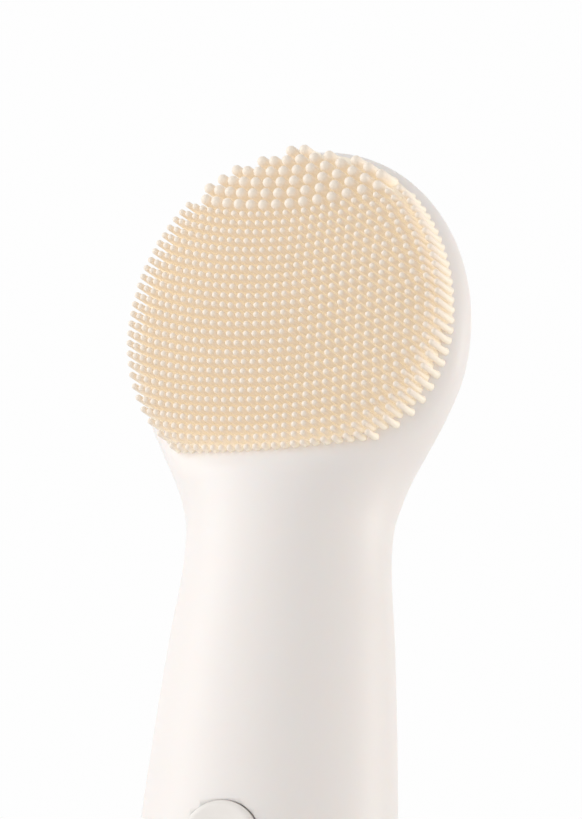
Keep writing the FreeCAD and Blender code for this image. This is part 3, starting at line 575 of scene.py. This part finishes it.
def grow(name, kind, tree, look):
    """Runs the tree on one kind's places and keeps the result as a plain mesh."""
    places = lattice(kind)
    cloud = place_points(name + "_places", places)
    growth = cloud.modifiers.new("growth", "NODES")
    growth.node_group = tree
    keys = {item.name: item.identifier for item in tree.interface.items_tree if item.in_out == "INPUT"}
    growth[keys["Radius"]] = kind["radius"] * MM
    growth[keys["Root Flare"]] = kind["flare"]
    growth[keys["Sway"]] = kind["sway"] * MM
    growth[keys["Material"]] = look
    ready = cloud.evaluated_get(bpy.context.evaluated_depsgraph_get())
    mesh = bpy.data.meshes.new_from_object(ready)
    mesh.name = name
    mesh.materials.clear()
    mesh.materials.append(look)
    mesh.polygons.foreach_set("material_index", [0] * len(mesh.polygons))
    mesh.shade_smooth()
    made = bpy.data.objects.new(name, mesh)
    bpy.context.scene.collection.objects.link(made)
    bpy.data.objects.remove(cloud)
    print(name, "bristles:", len(places), "faces:", len(mesh.polygons))
    return made


# %% [markdown]
# Silicone lets light in, and here that light is painted: a bristle is painted a warmer cream near its
# root and given a painted glow (emission) that stands in for light bouncing about between the shanks;
# both fade toward its paler tip. The pad carries the same painted glow. The sleeve is a denser white
# silicone, with a faint satin skin.


# %%
def material(name):
    made = bpy.data.materials.new(name)
    made.use_nodes = True
    return made, Graph(made.node_tree)


def noise_at(g, scale, **extra):
    """A noise fixed to the object, with so many grains to the metre."""
    inputs = {"Vector": g.out(g.node("ShaderNodeTexCoord"), "Object"), "Scale": scale, **extra}
    return g.out(g.node("ShaderNodeTexNoise", None, inputs))


def grain(g, scale, strength, distance):
    """A very fine bump, as a mould leaves it."""
    noise = noise_at(g, scale, Detail=3.0)
    bump = g.node("ShaderNodeBump", None, {"Strength": strength, "Distance": distance, "Height": noise})
    return noise, g.out(bump)


def principled(g, inputs):
    """A Principled shader with these inputs, joined to the material's output."""
    g.node("ShaderNodeOutputMaterial", None, {0: g.out(g.node("ShaderNodeBsdfPrincipled", None, inputs))})


MOULD_GRAIN = (900.0, 0.08, 0.00005)  # grains to the metre, strength, depth in metres
BLOTCH_SIZE = 45.0
BLOTCH_SHARE = 0.12
SHINE_SPREAD = 0.08
# The share of the painted glow that is left at a bristle's pale tip.
PAINTED_TIP_GLOW = 0.56


def silicone(name, pale, warm, roughness, spread, painted_glow=(0.0, 0.0, 0.0), scatter=None):
    """Soft silicone: colour and a painted glow (emission in place of scattered light) run from warm to
    pale with the factor that spread gives.
    """
    made, g = material(name)
    noise, bump = grain(g, *MOULD_GRAIN)
    blotch = (noise_at(g, BLOTCH_SIZE, Detail=2.0) - 0.5) * BLOTCH_SHARE
    factor = g.math("ADD", spread(g), blotch, clamp=True)
    painted_tip_glow = tuple(part * PAINTED_TIP_GLOW for part in painted_glow)
    inputs = {"Base Color": g.mix(factor, warm + (1.0,), pale + (1.0,)),
              "Roughness": roughness + (noise - 0.5) * SHINE_SPREAD, "Normal": bump,
              "IOR": 1.41, "Specular IOR Level": 0.4,
              "Emission Color": g.mix(factor, painted_glow + (1.0,), painted_tip_glow + (1.0,)), "Emission Strength": 1.0}
    principled(g, {**inputs, **(scatter or {})})
    return made


def by_reach(g):
    """0 near a bristle's root and 1 near its tip: the mask of the painted warm bounce light at the roots.
    """
    reach = g.node("ShaderNodeAttribute", {"attribute_name": "reach"})
    return g.math("MULTIPLY", g.out(reach, "Fac") - 0.2, 1.45, clamp=True)


def steady(share):
    """The same factor everywhere."""
    return lambda g: g.math("ADD", share, 0.0)


# The bristles run from the warm cream at the root to the pale cream at the tip: painted warm bounce light
# between the shanks. The pad takes a fixed mix of the two as its own colour.
CREAM_PALE = (0.90, 0.806, 0.706)
CREAM_WARM = (0.955, 0.87, 0.745)
WHITE = (0.925, 0.882, 0.86)
WHITE_WARM = (0.90, 0.845, 0.80)
# The glow below is painted: emission on the pad and bristles in place of light scattered among them; the
# sleeve gets none.
PAINTED_GLOW = (0.146, 0.132, 0.106)
WHITE_SCATTER = {"Subsurface Weight": 0.35, "Subsurface Radius": (1.0, 0.75, 0.6),
                 "Subsurface Scale": 0.002}

bristle_look = silicone("bristle_silicone", CREAM_PALE, CREAM_WARM, 0.42, by_reach, PAINTED_GLOW)
pad_look = silicone("pad_silicone_soft", CREAM_PALE, CREAM_WARM, 0.5, steady(0.25), PAINTED_GLOW)
sleeve_look = silicone("sleeve_silicone_soft", WHITE, WHITE_WARM, 0.4, steady(0.7), scatter=WHITE_SCATTER)
sleeve.data.materials.append(sleeve_look)
pad.data.materials.append(pad_look)
print("silicones:", bristle_look.name, pad_look.name, sleeve_look.name)

# %% [markdown]
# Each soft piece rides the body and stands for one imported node.

# %%
tree = bristle_tree()
fine = grow("fine_bristle_field", FINE, tree, bristle_look)
thick = grow("thick_bristle_patch", THICK, tree, bristle_look)

for piece, node_name, slot in ((sleeve, "body_sleeve", "sleeve_silicone"),
                               (pad, "bristle_pad", "pad_silicone"),
                               (fine, "fine_bristles", "pad_silicone"),
                               (thick, "thick_bristles", "pad_silicone")):
    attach(piece, "body")
    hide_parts(node_name)

# %% [markdown]
# The key is pressed by a thumb, so its face is a shallow dish inside a rounded edge.  The dish
# is a profile turned about the key's own axis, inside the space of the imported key.

# %%
KEY_TURNS = 72
KEY_DISH = 0.25
DISH_STEPS = 12
KEY_EDGE = 0.45
EDGE_STEPS = 8
KEY_THICK = 1.6
UNDER_EDGE = 0.15
STEM_RADIUS = 2.0
STEM_ROOT = 0.3
STEM_EDGE = 0.2


def key_profile(radius, front, back):
    """Distance from the axis and depth: the dish, the round edge, the plate's back and the stem."""
    flat = radius - 2.0 * KEY_EDGE
    rows = []
    for step in range(1, DISH_STEPS + 1):
        away = flat * step / DISH_STEPS
        rows.append((away, front + KEY_DISH * (1.0 - (away / flat) ** 2)))
    for step in range(1, EDGE_STEPS + 1):
        turn = quarter(step, EDGE_STEPS)
        rows.append((flat + 2.0 * KEY_EDGE * math.sin(turn), front + KEY_EDGE * (1.0 - math.cos(turn))))
    under = front + KEY_THICK
    return rows + [(radius, under - UNDER_EDGE), (radius - UNDER_EDGE, under),
                   (STEM_RADIUS + STEM_ROOT, under), (STEM_RADIUS, under + STEM_ROOT),
                   (STEM_RADIUS, back - STEM_EDGE), (STEM_RADIUS - STEM_EDGE, back)]


def turned_body(name, profile, across, height):
    """A closed body turned from a profile about an axis that runs from front to back."""
    points = []
    faces = []
    for row, (away, deep) in enumerate(profile):
        for step in range(KEY_TURNS):
            turn = 2.0 * math.pi * step / KEY_TURNS
            points.append((across + away * math.cos(turn), deep, height + away * math.sin(turn)))
            if row:
                here, after = (row - 1) * KEY_TURNS + step, (row - 1) * KEY_TURNS + (step + 1) % KEY_TURNS
                faces.append((after, here, here + KEY_TURNS, after + KEY_TURNS))
    last = (len(profile) - 1) * KEY_TURNS
    faces += [tuple(range(KEY_TURNS)), tuple(reversed(range(last, last + KEY_TURNS)))]
    return mesh_object(name, points, faces)


low, high = [[value / MM for value in corner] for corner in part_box("power_button")]
profile = key_profile((high[0] - low[0]) / 2.0, low[1], high[1])
key = turned_body("power_key", profile, (low[0] + high[0]) / 2.0, (low[2] + high[2]) / 2.0)
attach(key, "button")
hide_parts("power_button")
print("key faces:", len(key.data.polygons))

# %% [markdown]
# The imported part's own pieces keep their shapes and only get better finishes.  Each finish mixes
# two near tones by a noise of its own grain size, and the same noise roughens the surface a
# little, so brass, solder mask and moulded plastic all read differently up close.

# %%
FINISHES = {  # slot: first tone, second tone, roughness, metallic, grain per metre, bump
    "frame_plastic": ((0.80, 0.81, 0.82), (0.74, 0.75, 0.77), 0.5, 0.0, 700.0, 0.15),
    "base_plastic": ((0.90, 0.87, 0.845), (0.88, 0.85, 0.82), 0.22, 0.0, 500.0, 0.05),
    "seal_rubber": ((0.56, 0.54, 0.52), (0.48, 0.46, 0.45), 0.6, 0.0, 1200.0, 0.25),
    "screw_steel": ((0.66, 0.66, 0.68), (0.52, 0.52, 0.54), 0.3, 1.0, 2500.0, 0.2),
    "motor_steel": ((0.72, 0.72, 0.74), (0.62, 0.62, 0.65), 0.26, 1.0, 1500.0, 0.1),
    "magnet_black": ((0.10, 0.10, 0.11), (0.05, 0.05, 0.06), 0.55, 0.4, 2500.0, 0.4),
    "weight_metal": ((0.62, 0.60, 0.55), (0.50, 0.48, 0.44), 0.42, 1.0, 2800.0, 0.5),
    "bush_brass": ((0.80, 0.62, 0.30), (0.68, 0.50, 0.22), 0.28, 1.0, 1800.0, 0.15),
    "cell_wrap": ((0.14, 0.36, 0.58), (0.10, 0.28, 0.48), 0.24, 0.0, 300.0, 0.1),
    "foam": ((0.14, 0.14, 0.15), (0.06, 0.06, 0.07), 0.95, 0.0, 3500.0, 0.9),
    "tab_nickel": ((0.80, 0.79, 0.76), (0.70, 0.69, 0.66), 0.2, 1.0, 900.0, 0.1),
    "board_green": ((0.03, 0.26, 0.12), (0.02, 0.18, 0.09), 0.3, 0.0, 1600.0, 0.15),
    "chip_black": ((0.05, 0.05, 0.05), (0.025, 0.025, 0.028), 0.62, 0.0, 3000.0, 0.3),
    "led_lens": ((0.95, 0.92, 0.76), (0.90, 0.84, 0.62), 0.15, 0.0, 900.0, 0.05),
    "button_plastic": ((0.88, 0.845, 0.81), (0.85, 0.81, 0.77), 0.36, 0.0, 900.0, 0.08),
    "switch_black": ((0.07, 0.07, 0.08), (0.04, 0.04, 0.045), 0.5, 0.0, 2200.0, 0.25),
    "jack_black": ((0.06, 0.06, 0.065), (0.03, 0.03, 0.035), 0.42, 0.0, 2000.0, 0.2),
    "lead_red": ((0.60, 0.06, 0.045), (0.48, 0.04, 0.03), 0.4, 0.0, 900.0, 0.1),
    "guide_clear": ((0.97, 0.98, 1.0), (0.93, 0.95, 0.97), 0.28, 0.0, 1500.0, 0.2),
}


BUMP_DEPTH = 0.0001  # metres
FINISH_SPREAD = 0.2


def finish(slot, extra=None):
    """The finish of one slot, from its row of the table."""
    first, second, roughness, metallic, scale, strength = FINISHES[slot]
    made, g = material(slot + "_finish")
    noise, bump = grain(g, scale, strength, BUMP_DEPTH)
    inputs = {"Base Color": g.mix(noise, second + (1.0,), first + (1.0,)), "Metallic": metallic,
              "Roughness": roughness + (noise - 0.5) * FINISH_SPREAD, "Normal": bump}
    principled(g, {**inputs, **(extra or {})})
    return made


CLEAR = {"guide_clear": {"Transmission Weight": 0.75, "IOR": 1.49}}  # frosted, passes the lights
looks = {slot: finish(slot, CLEAR.get(slot)) for slot in FINISHES}
looks["sleeve_silicone"] = sleeve_look
looks["pad_silicone"] = pad_look
key.data.materials.append(looks["button_plastic"])
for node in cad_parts.values():
    for place in node.material_slots:
        place.material = looks[place.material.name.split(".")[0]]
print("finishes:", len(looks))

# %% [markdown]
# The camera stands far off, a little below the head and to its right, so the view is almost
# without perspective and looks up at the pad.

# %%
TURN = math.radians(26.106)
LIFT = math.radians(-16.823)
ROLL = math.radians(4.062)
DISTANCE = 1260.0
AIM = Vector((0.0, -12.4, 106.3))
SLIDE_RIGHT = 3.340
SLIDE_UP = -14.799
FOCAL = 551.12
SENSOR = 36.0

right = Vector((math.cos(TURN), math.sin(TURN), 0.0))
away = Vector((math.sin(TURN) * math.cos(LIFT), -math.cos(TURN) * math.cos(LIFT), math.sin(LIFT)))
up = away.cross(right)
rolled_right = math.cos(ROLL) * right + math.sin(ROLL) * up
rolled_up = -math.sin(ROLL) * right + math.cos(ROLL) * up
camera_data = bpy.data.cameras.new("camera")
camera_data.sensor_fit = "HORIZONTAL"
camera_data.sensor_width = SENSOR
camera_data.lens = FOCAL
camera_data.clip_start = 0.05
camera_data.clip_end = 20.0
camera = bpy.data.objects.new("camera", camera_data)
bpy.context.scene.collection.objects.link(camera)
spot = AIM + away * DISTANCE + rolled_right * SLIDE_RIGHT + rolled_up * SLIDE_UP
turned = Matrix((rolled_right, rolled_up, away)).transposed().to_4x4()
camera.matrix_world = Matrix.Translation(spot * MM) @ turned
bpy.context.scene.camera = camera
print("camera at:", camera.matrix_world.translation)

# %% [markdown]
# A pale studio: a wide floor, white surroundings for the eye, and soft lamps.  The floor lies a
# hair under the foot, and shows only from above, because the camera looks up from below it.

# %%
FLOOR_REACH = 2600.0
FLOOR_DROP = 0.3
AMBIENT = (0.52, 0.515, 0.51, 1.0)
BACKDROP = (0.99, 0.99, 0.99, 1.0)

corners = [(across * FLOOR_REACH, deep * FLOOR_REACH, -FLOOR_DROP)
           for across, deep in ((-1, -1), (1, -1), (1, 1), (-1, 1))]
floor = mesh_object("floor", corners, [(0, 1, 2, 3)], shade=False)
floor_look, g = material("studio_floor")
tone = g.mix(noise_at(g, 3.0), (0.86, 0.86, 0.86, 1.0), (0.9, 0.9, 0.9, 1.0))
matt = g.node("ShaderNodeBsdfPrincipled", None, {"Base Color": tone, "Roughness": 0.7})
clear = g.node("ShaderNodeBsdfTransparent")
one_sided = g.node("ShaderNodeMixShader", None, {
    0: g.out(g.node("ShaderNodeNewGeometry"), "Backfacing"), 1: g.out(matt), 2: g.out(clear)})
g.node("ShaderNodeOutputMaterial", None, {0: g.out(one_sided)})
floor.data.materials.append(floor_look)

world = bpy.data.worlds.new("studio")
world.use_nodes = True
bpy.context.scene.world = world
g = Graph(world.node_tree)
rays = g.node("ShaderNodeLightPath")
seen = g.math("MAXIMUM", g.out(rays, "Is Camera Ray"), g.out(rays, "Is Transmission Ray"))
seen = g.math("MAXIMUM", seen, g.out(rays, "Is Glossy Ray"))
sky = g.node("ShaderNodeBackground", None, {"Color": g.mix(seen, AMBIENT, BACKDROP)})
g.node("ShaderNodeOutputWorld", None, {0: g.out(sky)})

LAMP_TARGET = (0.0, 0.0, 95.0)


def lamp(name, power, size, place, colour=(1.0, 1.0, 1.0)):
    """A square soft lamp that faces the brush."""
    data = bpy.data.lights.new(name, "AREA")
    data.shape = "SQUARE"
    data.size = size * MM
    data.energy = power
    data.color = colour
    made = bpy.data.objects.new(name, data)
    bpy.context.scene.collection.objects.link(made)
    facing = (Vector(place) - Vector(LAMP_TARGET)).to_track_quat("Z", "Y").to_matrix().to_4x4()
    made.matrix_world = Matrix.Translation(Vector(place) * MM) @ facing


lamp("left_soft", 4.45, 700, (-900, -500, 450))
lamp("right_rim", 3.4, 500, (850, 350, 200), colour=(1.0, 0.96, 0.92))
lamp("front_fill", 2.98, 900, (-250, -1100, 200))

bpy.context.scene.view_settings.view_transform = "Standard"
print("lamps:", len(bpy.data.lights))
